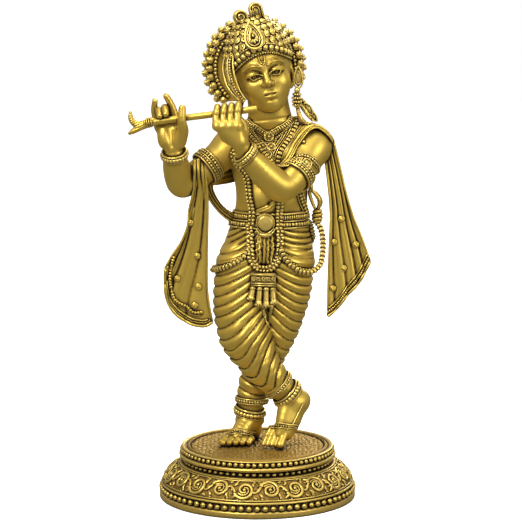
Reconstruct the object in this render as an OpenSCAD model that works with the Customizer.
// Flute-playing deity statuette in cast brass: a figure standing with crossed
// legs on a round two-tier pedestal.
// +X is the viewer's right, the figure faces -Y, +Z is up.
// The origin is the centre of the underside of the pedestal.
// "Left" and "right" are the figure's own sides.

/* [Pedestal] */
// Diameter of the pedestal at its foot
base_d = 152; // [150:1:156]
// Height of the pedestal from the table to the deck
base_h = 40; // [39.8:0.1:40.2]
// Diameter of the deck that the figure stands on
deck_d = 118; // [116:1:119]
// Wall thickness of the hollow pedestal casting
base_wall = 3.2; // [2.6:0.2:4]
// Beads round the foot of the pedestal
foot_beads = 76; // [60:2:80]
// Beads round the neck of the pedestal
neck_beads = 70; // [56:2:74]
// Beads round the rim of the deck
rim_beads = 78; // [60:2:82]
// Scrolls in the frieze
scrolls = 24; // [12:2:26]

/* [Flute] */
// Diameter of the flute
flute_d = 5; // [4.4:0.2:5.2]
// Length of the flute, from its mouth end to the tassel
flute_len = 80; // [76:1:84]
// Clearance between the flute and the fingers
grip_gap = 0.2; // [0.15:0.05:0.3]

/* [Ornaments] */
// Diameter of a bead in the halo of curls
halo_bead_d = 6.2; // [5.6:0.1:6.4]
// Curls in each row of the halo
halo_beads = 23; // [17:2:23]
// Diameter of the garland rope
garland_d = 5; // [4:0.5:5.5]

/* [Fixings] */
// Diameter of the studs that hold the feet to the deck
stud_d = 4; // [3:0.5:4]

/* [Hidden] */

gap = 0.06;          // solder gap where two castings meet
fn_form = 18;        // facets of the sculpted forms
fn_round = 96;       // facets of turned and drilled work, shown only in the preview
brass = "goldenrod";
steel = "silver";

// ---------------------------------------------------------------- placing

// Turned frame of the head: it leans to the figure's right and looks a little left.
head_at = [4, 5, 329];
head_turn = [0, -12.5, 13];

// Line of the flute: its mouth end, and its slope in the XZ plane.
flute_at = [0, -30, 304.6];
flute_slope = 7.2;

module in_head() translate(head_at) rotate([0, head_turn[1], 0]) rotate([0, 0, head_turn[2]]) children();
module along_flute() translate(flute_at) rotate([0, -90 - flute_slope, 0]) children();

// Places its children with +Z along the direction d, at the point p.
module aim(p, d) {
    tilt = acos(d[2] / norm(d));
    turn = atan2(d[1], d[0]);
    translate(p) rotate([0, tilt, turn]) children();
}

// ---------------------------------------------------------------- shapes

// A limb: points [x, y, z, radius] joined by rounded cones.
module limb(points, grow = 0, sides = fn_form)
    for (i = [0 : len(points) - 2]) hull() for (p = [points[i], points[i + 1]])
        translate([p[0], p[1], p[2]]) sphere(r = p[3] + grow, $fn = sides);

// A trunk: ellipsoids [x, y, z, rx, ry, rz] joined by hulls.
module trunk(points, grow = 0, sides = fn_form)
    for (i = [0 : len(points) - 2]) hull() for (p = [points[i], points[i + 1]])
        translate([p[0], p[1], p[2]])
            scale([p[3] + grow, p[4] + grow, p[5] + grow]) sphere(r = 1, $fn = sides);

// A sheet of metal cloth: each section runs from a left to a right point, in n strips, with a
// thickness and a depth of fold.
function fold_point(sec, k, n) = sec[0] + (sec[1] - sec[0]) * k / n
    + [0, (k == 0 || k == n) ? 0 : (k % 2 == 0 ? 1 : -1) * sec[3], 0];
module cloth(sections, n = 1, grow = 0) for (i = [0 : len(sections) - 2]) for (k = [0 : n - 1]) hull()
    for (s = [sections[i], sections[i + 1]]) for (j = [k, k + 1])
        translate(fold_point(s, j, n)) sphere(r = s[2] / 2 + grow, $fn = 8);

// A turned ring with its axis along d: inner radius, thickness, width.
module ring(p, d, inner, thick, wide)
    aim(p, d) rotate_extrude($fn = fn_round) translate([inner, -wide / 2]) square([thick, wide]);

// A bangle: a ring with two raised edges and a row of beads seated between them.
module bangle(p, d, inner, wide, beads) {
    bead = 0.4 * wide;
    aim(p, d) {
        rotate_extrude($fn = fn_round) polygon([
            [inner, -wide / 2], [inner + 2.4, -wide / 2], [inner + 2.4, -0.28 * wide], [inner + 1.2, -0.28 * wide],
            [inner + 1.2, 0.28 * wide], [inner + 2.4, 0.28 * wide], [inner + 2.4, wide / 2], [inner, wide / 2]]);
        for (i = [0 : beads - 1]) rotate(i * 360 / beads) translate([inner + 1.26 + bead / 2, 0, 0]) sphere(d = bead, $fn = 24);
    }
}

// Places one child at each of n even steps round a circle.
module round_row(n, r, z) for (i = [0 : n - 1]) rotate(i * 360 / n) translate([r, 0, z]) children();

// ---------------------------------------------------------------- forms of the body

torso_form_points = [
    [10, 11, 216, 27, 18, 6], [11, 11, 228, 25.5, 17, 8], [11, 11.5, 246, 29, 18, 9],
    [11, 11, 262, 32, 18.5, 9], [12, 11, 275, 32, 15, 7], [12, 10, 284, 22, 13, 6],
    [10.5, 8, 295, 14, 13, 6], [9, 7, 303, 13, 12, 5]];
hips_points = [
    [9.5, 11, 213, 29.5, 19.5, 5], [8.5, 11, 204, 32, 21, 7], [7.5, 11, 190, 35.5, 22.5, 9],
    [6.5, 11, 177, 37.5, 23, 9]];
standing_leg_points = [
    [20, 10, 172, 24], [18, 10, 155, 22], [14, 11, 134, 19], [8, 13, 112, 14.5],
    [2, 14, 96, 13], [-3, 15, 82, 12], [-4.5, 15.5, 74, 11.5]];
crossed_leg_points = [
    [-9.5, 7, 172, 21.5], [-12, 4, 156, 21.5], [-11, 0, 136, 20.5], [-3, -4, 115, 16.5],
    [6, -4, 101, 14.5], [13, -2.5, 92, 12.5], [16.5, -1, 87, 11.5]];
arm_left_points = [
    [43, 10, 272, 13], [37, 0, 261, 12.5], [28, -10, 250, 12], [18, -19, 243, 10.8],
    [8, -24, 252, 11.5], [0, -28, 262, 10], [-9, -31, 271, 7.6]];
arm_right_points = [
    [-19, 10, 271, 13], [-32, 3, 262, 12], [-45, -3, 252, 11.3], [-57, -6, 244, 10.8],
    [-60, -13, 253, 11.4], [-61.5, -19, 262, 10], [-62.5, -23, 270, 7.6]];
wrist_left_dir = [-9, -3, 9];
wrist_right_dir = [-1, -4, 8];
armlet_at = [-37.5, 0.3, 258];
armlet_dir = [-13, -6.5, -9.6];
ankle_left = [-6, 16, 60];
ankle_left_dir = [0.5, 1, 10];
ankle_right = [23.5, 1.5, 80.5];
ankle_right_dir = [7, 2, -7];

module torso_form(grow = 0) trunk(torso_form_points, grow);
module hips_form(grow = 0) trunk(hips_points, grow);
module standing_leg_form(grow = 0) limb(standing_leg_points, grow);
module crossed_leg_form(grow = 0) limb(crossed_leg_points, grow);
module arm_left_form(grow = 0) limb(arm_left_points, grow);
module arm_right_form(grow = 0) limb(arm_right_points, grow);

// The head in its own frame: cranium, face, jaw.
module head_form(grow = 0) in_head()
    trunk([[0, 3, 10, 20, 21, 17], [0, 0, -3, 20, 20.5, 17], [0, -5.5, -18, 14.5, 14.5, 10.5]], grow, 24);

// ---------------------------------------------------------------- pedestal

deck_z = base_h;
deck_r = deck_d / 2;
base_r = base_d / 2;
foot_bead_d = 3.9;
rim_bead_d = 3.5;
foot_row = [base_r - 1.6, 7.6];
neck_row = [deck_r - 3.0, 29.2];
rim_row = [deck_r - 0.6, 37.2];
// Posts of the figure's feet on the deck.
stud_at = [[-9, 10], [16, -12]];
stud_reach = 14;     // how far a stud goes down below the deck
deck_t = 2.6;
nut_t = 3.2;
washer_t = 0.8;

module bead_groove(row, d) translate(row) circle(d = d + 2 * gap, $fn = fn_round);

// Half section of the pedestal casting: foot band, bead row, frieze flare, neck and rim.
module base_profile() difference() {
    polygon([
        [base_r - base_wall, 0], [base_r, 0], [base_r, 4], [base_r - 1.4, 5], [base_r - 1.4, 10.4],
        [base_r - 1.2, 11.4], [base_r - 2.4, 12.4], [base_r - 6, 18], [base_r - 11, 23],
        [deck_r + 1.4, 25.8], [deck_r + 0.8, 27], [deck_r - 2.4, 27.6], [deck_r - 2.4, 31],
        [deck_r + 0.4, 32], [deck_r + 1.2, 33.4], [deck_r + 0.4, 34.8], [deck_r - 0.4, 35.2],
        [deck_r - 0.4, base_h - deck_t - gap], [deck_r - 7, base_h - deck_t - gap],
        [deck_r - 7, 27], [deck_r - 2, 22], [base_r - 10, 16], [base_r - base_wall - 1.8, 8],
        [base_r - base_wall - 1.8, 4]]);
    bead_groove(foot_row, foot_bead_d);
    bead_groove(neck_row, rim_bead_d);
    bead_groove(rim_row, rim_bead_d);
}

// The foot band and the shell above it meet at the bottom of the flare.
foot_top = 12.4;
module base_foot() color(brass) rotate_extrude($fn = fn_round) intersection() {
    base_profile();
    square([base_r + 1, foot_top]);
}
module base_shell() color(brass) rotate_extrude($fn = fn_round) intersection() {
    base_profile();
    translate([0, foot_top + gap]) square([base_r + 1, base_h]);
}

module base_deck() color(brass) difference() {
    union() {
        translate([0, 0, deck_z - deck_t]) cylinder(r = deck_r + 0.2, h = deck_t - 0.8, $fn = fn_round);
        translate([0, 0, deck_z - 1]) cylinder(r = deck_r - 1, h = 1, $fn = fn_round);
    }
    rotate_extrude($fn = fn_round) translate(rim_row) circle(d = rim_bead_d + 2 * gap, $fn = fn_round);
    for (p = stud_at) translate([p[0], p[1], 0]) cylinder(d = stud_d + 0.4, h = base_h + 5, $fn = fn_round);
}

module bead_row(n, row, d) color(brass) round_row(n, row[0], row[1]) sphere(d = d, $fn = fn_round);
module foot_bead_row() bead_row(foot_beads, foot_row, foot_bead_d);
module neck_bead_row() bead_row(neck_beads, neck_row, rim_bead_d);
module rim_bead_row() bead_row(rim_beads, rim_row, rim_bead_d);

// One scroll of the frieze: three arcs of round wire, each smaller and tangent to the last,
// lying on the flare and sunk a little into it. Every second scroll is mirrored.
scroll_at = [base_r - 7.9, 20.1];
scroll_wire = 1.9;
scroll_arcs = [[6.4, 195, 250], [3.9, 85, 190], [2.2, -85, 200]];   // radius, start angle, sweep
module wire_arc(r, start, sweep) rotate(start)
    rotate_extrude(angle = -sweep, $fn = 48) translate([r, 0]) circle(d = scroll_wire, $fn = 24);
function arc_end(i) = scroll_arcs[i][1] - scroll_arcs[i][2];
function arc_centre(i) = i == 0 ? [0, 0]
    : arc_centre(i - 1) + (scroll_arcs[i - 1][0] - scroll_arcs[i][0]) * [cos(arc_end(i - 1)), sin(arc_end(i - 1))];
module scroll_line() {
    for (i = [0 : 2])
        translate(arc_centre(i)) wire_arc(scroll_arcs[i][0], i == 0 ? scroll_arcs[0][1] : arc_end(i - 1), scroll_arcs[i][2]);
    translate(arc_centre(2) + scroll_arcs[2][0] * [cos(arc_end(1) - 200), sin(arc_end(1) - 200)])
        sphere(d = 2.6, $fn = 24);
}
module frieze_scrolls() color(brass) for (i = [0 : scrolls - 1]) rotate(i * 360 / scrolls)
    translate([scroll_at[0], 0, scroll_at[1]]) rotate([0, 45, 0]) mirror([0, i % 2, 0])
        translate([0, 0, scroll_wire / 2 - 0.4]) rotate(90) scroll_line();

// ---------------------------------------------------------------- fixings under the deck

module foot_studs() color(steel) for (p = stud_at)
    translate([p[0], p[1], deck_z - stud_reach]) cylinder(d = stud_d, h = stud_reach + 4, $fn = fn_round);
module foot_washers() color(steel) for (p = stud_at)
    translate([p[0], p[1], deck_z - deck_t - washer_t]) difference() {
        cylinder(d = 2.2 * stud_d, h = washer_t - gap, $fn = fn_round);
        translate([0, 0, -1]) cylinder(d = stud_d + 0.3, h = 4, $fn = fn_round);
    }
module foot_nuts() color(steel) for (p = stud_at)
    translate([p[0], p[1], deck_z - deck_t - washer_t - nut_t - gap]) difference() {
        cylinder(d = 1.9 * stud_d, h = nut_t, $fn = 6);
        translate([0, 0, -1]) cylinder(d = stud_d + 0.06, h = 9, $fn = fn_round);
    }

// ---------------------------------------------------------------- body and legs

module torso() color(brass) torso_form();
module hips() color(brass) difference() {
    hips_form();
    torso_form(gap);
}
module standing_leg() color(brass) difference() {
    standing_leg_form();
    hips_form(gap);
}
module crossed_leg() color(brass) difference() {
    crossed_leg_form();
    hips_form(gap);
    standing_leg_form(gap);
}

standing_foot_points = [
    [-5.5, 16, 68, 9], [-6, 16, 58, 8.8], [-5, 20, 50, 8.4], [-4, 24, 47, 6.8]];
standing_instep = [[-6, 15, 57, 8.8], [-11, 7, 51.5, 8], [-15.5, 1, 46.6, 6.4]];
module standing_foot() color(brass) difference() {
    union() {
        limb(standing_foot_points, 0, 14);
        limb(standing_instep, 0, 14);
        // Toes, from the great toe on the viewer's left.
        for (i = [0 : 4]) hull() {
            translate([-22 + 3.6 * i, 1 - 0.4 * i, 45]) sphere(r = 3.6, $fn = 8);
            translate([-26 + 4.2 * i, -5 + 0.2 * i, 42.9]) sphere(r = 2.7 - 0.14 * i, $fn = 8);
        }
    }
    standing_leg_form(gap);
    translate([stud_at[0][0], stud_at[0][1], deck_z - 5]) cylinder(d = stud_d + 0.3, h = 9.5, $fn = 24);
    translate([-60, -60, 20]) cube([120, 120, deck_z - 20 + gap]);
}

crossed_foot_points = [
    [22, 1, 82, 8.8], [27, 2, 76, 8.4], [32, 4, 73, 8], [30, 0, 66, 7.6], [25, -5, 57, 7.4], [20, -10, 49, 6.8]];
module crossed_foot() color(brass) difference() {
    union() {
        limb(crossed_foot_points, 0, 14);
        limb([[27, 2, 76, 8.4], [24, -3, 62, 7.4], [18, -9, 49, 6.4]], 0, 14);
        // Toes, from the great toe on the viewer's right.
        for (i = [0 : 4]) hull() {
            translate([22 - 2.6 * i, -10 - 0.4 * i, 48]) sphere(r = 3.6 - 0.2 * i, $fn = 8);
            translate([18.5 - 2.9 * i, -15.5 + 0.6 * i, 43 + 0.1 * i]) sphere(r = 2.9 - 0.2 * i, $fn = 8);
        }
    }
    crossed_leg_form(gap);
    translate([stud_at[1][0], stud_at[1][1], deck_z - 5]) cylinder(d = stud_d + 0.3, h = 9.5, $fn = 24);
    translate([-60, -60, 20]) cube([120, 120, deck_z - 20 + gap]);
}

module standing_anklet() color(brass) bangle(ankle_left, ankle_left_dir, 9.2, 5.4, 20);
module crossed_anklet() color(brass) bangle(ankle_right, ankle_right_dir, 9.0, 5.4, 20);
module standing_hem() color(brass) ring([-4.4, 15.5, 72], [0.2, 0.2, 1], 11.6, 1, 3.4);
module crossed_hem() color(brass) difference() {
    ring([16.4, -1, 87.2], [7, 2, -7], 11.6, 1, 3.4);
    standing_leg_form(gap);
}

// ---------------------------------------------------------------- waist

// A point on an oval round the trunk: centre c, half width rx, half depth ry, at the angle a.
function on_waist(c, rx, ry, a) = [c[0] + rx * cos(a), c[1] + ry * sin(a), c[2]];
function belt_c(row) = [10 - 0.3 * row, 11, 219 - 5 * row];
module belt() color(brass) difference() {
    for (row = [0, 1]) for (i = [0 : 17]) hull() for (a = [i * 20, i * 20 + 20])
        translate(on_waist(belt_c(row), 28.2 + 1.2 * row, 19.4 + 0.8 * row, a)) sphere(r = 2.7, $fn = 6);
    torso_form(gap);
    hips_form(gap);
}

module belt_medallion() color(brass) translate([6, -11, 215.6]) rotate([90, 0, 0]) {
    cylinder(r = 6.9, h = 1.6, $fn = fn_round);
    translate([0, 0, 1.6]) cylinder(r1 = 5.8, r2 = 5.2, h = 1.2, $fn = fn_round);
}

module belly_sash() color(brass) difference() {
    limb([[17, -9.5, 234, 1.6], [12, -10, 230, 2.4], [5, -10.5, 226.5, 2.4], [-2, -9, 224.5, 1.6]], 0, 10);
    torso_form(gap);
    belt_solid(gap);
    garland_form(gap);
}
// A plain oval disc just wider than each row of the belt, for parts that pass over it.
module belt_solid(grow) for (row = [0, 1]) translate(belt_c(row))
    scale([31.1 + 1.2 * row + grow, 22.3 + 0.8 * row + grow, 1]) cylinder(r = 1, h = 5.4 + 2 * grow, center = true, $fn = 60);

// Pleated tail of the sash, inside the garland's loop.
module front_pleats() color(brass) difference() {
    for (x = [-0.6, 3, 6.6, 10.2, 13.4]) limb([[x * 0.7 + 2, -12.6, 206, 1.5], [x, -14.6, 190, 2.1], [x, -14, 182, 1.8]], 0, 8);
    garland_form(gap);
    hips_form(gap);
    standing_leg_form(gap);
    crossed_leg_form(gap);
}

module sash_tassels() color(brass) difference() {
    union() {
        hull() for (x = [-6, 14], z = [168, 176]) translate([x, -17, z]) sphere(r = 1.9, $fn = 10);
        for (i = [0 : 3]) hull() {
            translate([-4.5 + 5.6 * i, -17.5, 167]) sphere(r = 2.6, $fn = 10);
            translate([-6.2 + 6.4 * i, -18.2, 157 - 1.2 * sin(60 * i)]) sphere(r = 3, $fn = 10);
        }
    }
    garland_form(gap);
    hips_form(gap);
    standing_leg_form(gap);
    crossed_leg_form(gap);
}

module rope_left_form(grow = 0) limb([
    [45, 3, 207, 2.4], [49, 2, 196, 2.5], [49, 0, 186, 2.5], [45.5, -4, 178, 2.6], [37, -10, 174, 2.6],
    [27, -14, 177, 2.5], [20, -15.5, 184, 2.4]], grow, 10);
module rope_right_form(grow = 0) limb([
    [-9, -13, 187, 2.4], [-16, -12.5, 180, 2.5], [-25, -7.5, 176, 2.5], [-33, 1, 174, 2.5], [-36, 11, 175, 2.4]],
    grow, 10);
module hip_rope_left() color(brass) difference() {
    rope_left_form();
    hips_form(gap);
    standing_leg_form(gap);
}
module hip_rope_right() color(brass) difference() {
    rope_right_form();
    hips_form(gap);
    crossed_leg_form(gap);
}
module hip_knot_form(grow = 0) {
    limb([[43, 4, 214, 4.2], [44.5, 4, 208.5, 4]], grow, 12);
    limb([[43, 5, 215, 2.2], [47, 4, 222, 2.2], [44, 5, 230, 2.4], [39.5, 6, 237, 2]], grow, 10);
}
module hip_knot() color(brass) difference() {
    hip_knot_form();
    torso_form(gap);
    hips_form(gap);
    belt_solid(gap);
    rope_left_form(gap);
}

// ---------------------------------------------------------------- head and crown

module head() color(brass) difference() {
    union() {
        head_form();
        in_head() limb([[0, -20.2, 3, 1.2], [0, -21.4, -3.5, 2.2]], 0, 10);
    }
    torso_form(gap);
}

// The crown in the head's frame: a domed cap whose rim runs from the brow down behind the ears.
crown_points = [[0, 2, 18, 25, 24, 13], [0, 2, 28, 21, 20, 11], [0, 1, 37, 10, 10, 5]];
module crown_form(grow = 0) in_head() trunk(crown_points, grow, 24);
module crown() color(brass) difference() {
    crown_form();
    head_form(gap);
    curls_guard();
    // The face opening.
    in_head() translate([0, -16, 2]) scale([19, 30, 16.5]) sphere(r = 1, $fn = 24);
    in_head() translate([-40, -40, -20]) cube([80, 80, 24]);
}

// The crest is a plate with two rolled lobes, a rim round each and a bead at each heart.
crest_lobe = [6.6, 46.4];
crest_lobe_r = 5.4;
module crest_outline() {
    for (side = [-1, 1]) translate([side * crest_lobe[0], crest_lobe[1]]) circle(r = crest_lobe_r, $fn = fn_round);
    polygon([[-9.4, 34], [9.4, 34], [crest_lobe[0] + crest_lobe_r, 46], [4, 50], [-4, 50], [-crest_lobe[0] - crest_lobe_r, 46]]);
}
module crest_form(grow = 0) in_head() translate([0, -3, 0]) rotate([90, 0, 0]) {
    linear_extrude(4 + 2 * grow, center = true) crest_outline();
    for (side = [-1, 1]) translate([side * crest_lobe[0], crest_lobe[1], 2]) {
        rotate_extrude($fn = 48) translate([crest_lobe_r - 1, 0]) circle(r = 1 + grow, $fn = 24);
        sphere(r = 2 + grow, $fn = 24);
    }
}
module crown_crest() color(brass) difference() {
    crest_form();
    crown_cut();
}
// A plain dome just proud of the crown's top.
module crown_cut() in_head() translate([0, 0, 20]) cylinder(r = 14, h = 20.4, $fn = 60);

module jewel_form(grow = 0) in_head()
    limb([[0, -19.5, 25, 5.6], [0, -17, 34, 3.6], [0, -13.5, 40.5, 1.4]], grow, 14);
module crown_jewel() color(brass) difference() {
    jewel_form();
    crown_form(gap);
    in_head() translate([-20, -5.2, 30]) cube([40, 30, 30]);
}

// Row of beads along the crown's rim over the brow.
brow_n = 13;
function brow_point(i) = let (a = -72 + 144 * i / (brow_n - 1)) [23.6 * sin(a), 1 - 23.4 * cos(a), 17 - 11 * pow(sin(a), 2)];
module brow_beads() color(brass) difference() {
    in_head() for (i = [0 : brow_n - 2]) hull() for (k = [i, i + 1])
        translate(brow_point(k)) sphere(r = 1.7, $fn = 8);
    crown_form(gap);
    head_form(gap);
    jewel_form(gap);
}

halo_c = [-1.5, 12, 4.5];
halo_rows = [[5, 34.6], [11.5, 37.4], [18, 34.6]];   // depth and radius of each row of curls
halo_span = 244;
module fan_form(grow = 0) in_head() hull() for (i = [0 : 16]) {
    a = 90 - halo_span / 2 + halo_span * i / 16;
    for (row = [[6, 31], [18, 30.6]]) translate([halo_c[0] + row[1] * cos(a), row[0], halo_c[2] + row[1] * sin(a)])
        sphere(r = 2 + grow, $fn = 8);
}
module halo_fan() color(brass) difference() {
    fan_form();
    head_form(gap);
    crown_form(gap);
    torso_form(gap);
    in_head() translate([-20, -5.2, 33]) cube([40, 4.4, 30]);
}
module halo_curls() color(brass) in_head() for (row = halo_rows) for (i = [0 : halo_beads - 1]) {
    a = 90 - halo_span / 2 + halo_span * i / (halo_beads - 1);
    translate([halo_c[0] + row[1] * cos(a), row[0] + 1.5, halo_c[2] + row[1] * sin(a)]) sphere(d = halo_bead_d, $fn = fn_round);
}

// Hair gathered at the nape, falling behind the neck.
module hair_form(grow = 0) trunk([[6, 25, 322, 17, 6, 16], [10, 27, 300, 14, 5, 10], [12, 28, 282, 11, 4, 8],
    [12, 28, 266, 7, 3, 6]], grow, 14);
module back_hair() color(brass) difference() {
    hair_form();
    fan_form(gap);
    torso_form(gap);
    head_form(gap);
    curls_guard();
}
// The ring that the curls of the halo take up.
curls_front = halo_rows[0][0] + 1.5 - halo_bead_d / 2 - gap;
curls_depth = halo_rows[2][0] - halo_rows[0][0] + halo_bead_d + 2 * gap;
module curls_guard() in_head() translate([halo_c[0], curls_front + curls_depth, halo_c[2]]) rotate([90, 0, 0])
    difference() {
        cylinder(r = halo_rows[1][1] + halo_bead_d, h = curls_depth, $fn = 60);
        translate([0, 0, -1]) cylinder(r = halo_rows[0][1] - halo_bead_d / 2 - 0.2, h = curls_depth + 2, $fn = 60);
    }

// Ear with its leaf ornament and drop, mirrored from side to side.
module ear_side(side) in_head() {
    limb([[side * 21, -1, 6, 2.4], [side * 22.6, -2, -1, 3], [side * 21.5, -2, -8, 2.4]], 0, 12);
    limb([[side * 21, -3, -11, 3], [side * 20, -3, -16.5, 3.4]], 0, 12);
}
module ear_cut() {
    head_form(gap);
    crown_form(gap);
    fan_form(gap);
    torso_form(gap);
    in_head() translate([-60, curls_front, -60]) cube([120, 40, 120]);
}
module earring_left() color(brass) difference() {
    ear_side(1);
    ear_cut();
    brow_guard();
}
module earring_right() color(brass) difference() {
    ear_side(-1);
    ear_cut();
    brow_guard();
}
module brow_guard() in_head() for (i = [0 : brow_n - 2]) hull() for (k = [i, i + 1])
    translate(brow_point(k)) sphere(r = 1.7 + gap, $fn = 8);

// Locks of hair that fall from behind the ears to the shoulders.
module locks_form(grow = 0) {
    limb([[31, 5, 306, 2.4], [33, 3, 299, 2.8], [37, 4, 292, 2.6], [42, 4, 287.5, 2.2]], grow, 10);
    limb([[-13, 7, 303, 2.4], [-14, 5, 295, 2.6], [-16, 4, 288, 2.2]], grow, 10);
}
module side_locks() color(brass) difference() {
    locks_form();
    torso_form(gap);
    arm_left_form(gap);
    arm_right_form(gap);
    fan_form(gap);
    head_form(gap);
}

// ---------------------------------------------------------------- necklaces

// A strand on the chest: points [x, y, z, radius], cut to lie on the body.
module strand(points, sides = 8) difference() {
    limb(points, 0, sides);
    torso_form(gap);
    hips_form(gap);
}
choker_points = [
    [-7.5, 6, 293, 2.2], [-4.5, -2, 289, 2.2], [3, -6.5, 284.5, 2.2], [11, -7.5, 283, 2.2],
    [19, -6, 285, 2.2], [26.5, -1, 290, 2.2], [29, 6, 294, 2.2]];
module choker_form(grow = 0) limb(choker_points, grow, 10);
module choker() color(brass) difference() {
    choker_form();
    torso_form(gap);
    locks_form(gap);
    head_form(gap);
}
necklace_points = [
    [-10, 3, 287, 2], [-6, -5, 279, 2.2], [2, -8, 271, 2.2], [10, -9, 266, 2.4], [15, -9, 262, 2.4],
    [21, -8, 270, 2.2], [28, -5, 279, 2.2], [34, 1, 287, 2]];
module necklace_form(grow = 0) limb(necklace_points, grow, 10);
module bead_necklace() color(brass) difference() {
    necklace_form();
    torso_form(gap);
    choker_form(gap);
    locks_form(gap);
    arm_left_form(gap);
    arm_right_form(gap);
}
module pendant_form(grow = 0) limb([[10, -9, 277, 4.4], [10, -10, 276, 3.6]], grow, 14);
module chest_pendant() color(brass) difference() {
    pendant_form();
    torso_form(gap);
    choker_form(gap);
    necklace_form(gap);
}

// The long garland: a rope from the neck to a loop below the belt.
g = garland_d / 2;
garland_points = [
    [-15, 3, 281, g], [-14.5, -6, 264, g], [-11, -9, 248, g], [-7.5, -9.5, 232, g], [-6.5, -13, 218, g],
    [-6.5, -15, 205, g], [-5.5, -16, 192, g], [-1, -17, 183, g], [6, -17.5, 179.5, g],
    [13, -17, 183, g], [17.5, -16, 192, g], [18.5, -15, 205, g], [18, -13, 218, g], [17.5, -9.5, 232, g],
    [20, -9, 244, g], [26, -8, 258, g], [31, -4, 272, g], [33, 3, 281, g]];
module garland_form(grow = 0) limb(garland_points, grow, 8);
module long_garland() color(brass) difference() {
    garland_form();
    torso_form(gap);
    hips_form(gap);
    crossed_leg_form(gap);
    standing_leg_form(gap);
    arm_left_form(gap);
    arm_right_form(gap);
    belt_solid(gap);
    necklace_form(gap);
    choker_form(gap);
    pendant_form(gap);
}
module side_strap() color(brass) difference() {
    limb([[30, -6, 247, 2.4], [34.5, -4, 236, 2.4], [38, -1, 227, 2.4], [40, 3, 222, 2.2]], 0, 10);
    torso_form(gap);
    belt_solid(gap);
    garland_form(gap);
    hip_knot_form(gap);
    arm_left_form(gap);
    armlet_left_guard();
}

// ---------------------------------------------------------------- arms and hands

module arm_left() color(brass) difference() {
    arm_left_form();
    torso_form(gap);
}
module arm_right() color(brass) difference() {
    arm_right_form();
    torso_form(gap);
}

flute_r = flute_d / 2;
function flute_z(x) = flute_at[2] + x * tan(flute_slope);
// A finger that hooks over the flute from the front, at the distance x along it.
finger_r = 2.7;
hook_r = flute_r + grip_gap + finger_r;
function hook(x, from, to, steps) = [for (i = [0 : steps]) let (a = from + (to - from) * i / steps)
    [x + 0.9 * sin(a), flute_at[1] + hook_r * cos(a) , flute_z(x) + hook_r * sin(a), finger_r]];

module hand_left() color(brass) difference() {
    union() {
        limb([[-9, -31, 271, 7.6], [-12.5, -34.5, 278, 7]], 0, 9);
        // The back of the hand.
        hull() {
            translate([-12.5, -34.5, 277]) sphere(r = 6.8, $fn = 10);
            for (x = [-28.5, -16.5]) translate([x, -38, 294]) sphere(r = 3.8, $fn = 9);
            translate([-25, -36.5, 284]) sphere(r = 4, $fn = 9);
        }
        for (i = [0 : 3]) let (x = -31.5 + 5.3 * i)
            limb(concat([[x + 1.5, -38.4, 293, 3]], hook(x, 195, 20, 4)), 0, 9);
        // The thumb supports the flute from below.
        limb([[-14, -32, 282, 4], [-12.5, -27, 290, 3.4], [-14, -25.5, 296, 2.8]], 0, 9);
    }
    arm_left_form(gap);
    along_flute() translate([0, 0, -20]) cylinder(r = flute_r + grip_gap, h = 140, $fn = 32);
}

module hand_right() color(brass) difference() {
    union() {
        limb([[-62.5, -23, 270, 7.6], [-63.5, -24.5, 276, 7.2]], 0, 9);
        // The palm, facing the viewer behind the flute.
        hull() {
            translate([-63.5, -24.5, 276]) sphere(r = 6.8, $fn = 10);
            translate([-58, -25, 283]) sphere(r = 5, $fn = 9);
            for (x = [-73.5, -61.5]) translate([x, -22, 291]) sphere(r = 4, $fn = 9);
        }
        // Index and little finger raised, the two between them curled to the flute.
        limb([[-62, -22, 292, 3.6], [-63, -22, 300, 3], [-65, -23, 307, 2.7], [-66, -24.5, 314, 2.4]], 0, 9);
        limb([[-74, -22, 291, 3.4], [-76, -21.5, 298, 2.8], [-77, -22.5, 304, 2.5], [-76.5, -24, 310.5, 2.3]], 0, 9);
        limb([[-66.5, -21.5, 292, 3.4], [-68, -20, 299.5, 3], [-69, -23.5, 305, 2.8], [-68, -28.5, 302.6, 2.6]], 0, 9);
        limb([[-70.5, -21.5, 291, 3.2], [-72.5, -20, 298, 2.8], [-73.5, -23.5, 303, 2.6], [-73, -28.5, 301.6, 2.4]], 0, 9);
        // The thumb comes up in front of the flute.
        limb([[-58, -27, 281, 4.6], [-56, -32, 289, 3.8], [-57, -36.2, 297, 3.2], [-55.5, -34.5, 304, 2.8]], 0, 9);
    }
    arm_right_form(gap);
    along_flute() translate([0, 0, -20]) cylinder(r = flute_r + grip_gap, h = 140, $fn = 32);
}

module bracelet_left() color(brass) bangle([-8.4, -30.8, 270.4], wrist_left_dir, 8.4, 5.2, 18);
module bracelet_right() color(brass) bangle([-62.4, -22.6, 269.2], wrist_right_dir, 8.5, 5.2, 18);
armlet_left_at = [30.5, -7.5, 252.8];
armlet_left_dir = [-9, -10, -11];
module armlet_left() color(brass) difference() {
    ring(armlet_left_at, armlet_left_dir, 12.6, 1.8, 8);
    torso_form(gap);
}
module armlet_left_guard() aim(armlet_left_at, armlet_left_dir) cylinder(r = 14.6, h = 8.2, center = true, $fn = 40);
module armlet_right() color(brass) bangle(armlet_at, armlet_dir, 11.9, 7, 22);

// ---------------------------------------------------------------- shawl

module shawl_back_form(grow = 0) cloth([
    [[44, 14, 286], [38, 22, 278], 3, 0], [[30, 27, 275], [34, 28, 262], 3, 0.6], [[12, 31, 268], [18, 31.5, 254], 3, 0.6],
    [[-8, 30, 262], [-2, 31, 247], 3, 0.6], [[-24, 24, 256], [-18, 26, 241], 3, 0.6],
    [[-38, 14, 254], [-34, 16, 242], 3, 0]], 2, grow);
module shawl_back() color(brass) difference() {
    shawl_back_form();
    torso_form(gap);
    arm_left_form(gap);
    arm_right_form(gap);
    hair_form(gap);
    ring_guard();
}

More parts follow.
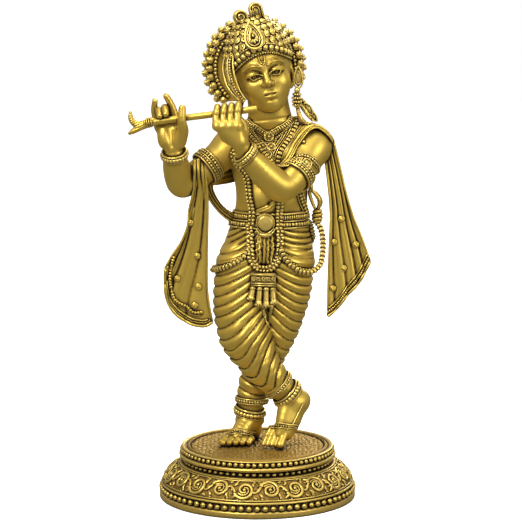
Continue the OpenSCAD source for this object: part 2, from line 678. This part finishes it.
// From the crook of the right arm down to the waist.
module shawl_loop_form(grow = 0) cloth([
    [[-42, -2, 238.5], [-41, -1, 231], 3.4, 0], [[-34, 1, 228], [-36, 1.5, 220], 3.6, 0],
    [[-24, 5, 220], [-26, 5, 212], 3.6, 0], [[-16, 6, 217], [-19, 6, 210], 3.4, 0]], 1, grow);
module shawl_loop() color(brass) difference() {
    shawl_loop_form();
    torso_form(gap);
    hips_form(gap);
    arm_right_form(gap);
    belt_solid(gap);
}

module shawl_fall_left_form() {
    cloth([[[36, 0, 285.6], [42, 18, 287.5], 3, 0], [[47, -1, 286.6], [52, 17, 284], 3, 0],
           [[54.8, 0, 277], [58, 16, 277], 3, 0], [[57.6, 4, 262], [61, 12, 262], 3.6, 0]], 1);
    cloth([[[58, 4, 264], [62, 12, 262], 4, 0], [[55, 5, 235], [66, 10, 236], 4, 0.8],
           [[52, 5, 205], [72, 9, 208], 3.6, 1.4], [[50.5, 5, 180], [84, 8, 182], 3.4, 1.8],
           [[50.5, 5, 152], [78, 7, 170], 3.4, 1.8], [[51.5, 5, 141], [60, 5, 146], 3.2, 1]], 3);
}
module shawl_fall_left() color(brass) difference() {
    shawl_fall_left_form();
    arm_left_form(gap);
    torso_form(gap);
    shawl_back_form(gap);
    rope_left_form(gap);
    hips_form(gap);
    standing_leg_form(gap);
    locks_form(gap);
    necklace_form(gap);
}

module shawl_fall_right() color(brass) difference() {
    cloth([[[-47, -15, 262], [-40, -6, 265], 3.4, 0], [[-48.5, -15, 245], [-38, -8, 246], 3.6, 0.8],
           [[-48, -12, 225], [-37.5, -7, 225], 3.6, 1], [[-51, -10, 205], [-38, -5, 205], 3.6, 1.2],
           [[-60, -9, 190], [-38.5, -4, 190], 3.4, 1.6], [[-67, -8, 178], [-38.5, -4, 175], 3.4, 1.8],
           [[-64, -7, 155], [-38.5, -4, 152], 3.4, 1.8], [[-52, -6, 141], [-38.5, -4, 137.5], 3.2, 1]], 3);
    arm_right_form(gap);
    shawl_back_form(gap);
    shawl_loop_form(gap);
    ring_guard();
    crossed_leg_form(gap);
    hips_form(gap);
    rope_right_form(gap);
}
module ring_guard() aim(armlet_at, armlet_dir) cylinder(r = 16.2, h = 7.6, center = true, $fn = 40);

// ---------------------------------------------------------------- flute

socket_len = 5;
module flute() color(brass) along_flute() difference() {
    union() {
        cylinder(r = flute_r, h = flute_len, $fn = fn_round);
        translate([0, 0, flute_len]) cylinder(r = flute_r - 0.9, h = socket_len, $fn = fn_round);
    }
    // The blown end and the finger holes, which are blind.
    translate([0, 0, -1]) cylinder(r = flute_r - 1, h = 7, $fn = fn_round);
}
// Two feathers bound to the far end: one straight, one curled up.
module flute_tassel() color(brass) difference() {
    union() {
        limb([[-79.5, -30, 294.4, 3.6], [-84, -30, 293, 3.3], [-88, -30, 291, 2.8]], 0, 14);
        limb([[-86, -30, 291, 2.8], [-92, -30, 288.2, 2.2], [-95.5, -30, 286.6, 1.5]], 0, 12);
        limb([[-86, -30, 293, 2.8], [-91, -30, 294.4, 2.8], [-94.6, -30, 298, 2.3], [-94.8, -30, 302, 1.3]], 0, 12);
    }
    along_flute() translate([0, 0, flute_len - 12]) cylinder(r = flute_r + 2, h = 12 + gap, $fn = 32);
    along_flute() translate([0, 0, flute_len - 1]) cylinder(r = flute_r - 0.9 + gap, h = socket_len + 1 + gap, $fn = 24);
}

// ---------------------------------------------------------------- nodes

base_foot();
base_shell();
base_deck();
foot_bead_row();
neck_bead_row();
rim_bead_row();
frieze_scrolls();
foot_studs();
foot_washers();
foot_nuts();
torso();
hips();
standing_leg();
crossed_leg();
standing_foot();
crossed_foot();
standing_anklet();
crossed_anklet();
standing_hem();
crossed_hem();
belt();
belt_medallion();
belly_sash();
front_pleats();
sash_tassels();
hip_rope_left();
hip_rope_right();
hip_knot();
head();
crown();
crown_crest();
crown_jewel();
brow_beads();
halo_fan();
halo_curls();
back_hair();
earring_left();
earring_right();
side_locks();
choker();
bead_necklace();
chest_pendant();
long_garland();
side_strap();
arm_left();
arm_right();
hand_left();
hand_right();
bracelet_left();
bracelet_right();
armlet_left();
armlet_right();
shawl_back();
shawl_loop();
shawl_fall_left();
shawl_fall_right();
flute();
flute_tassel();
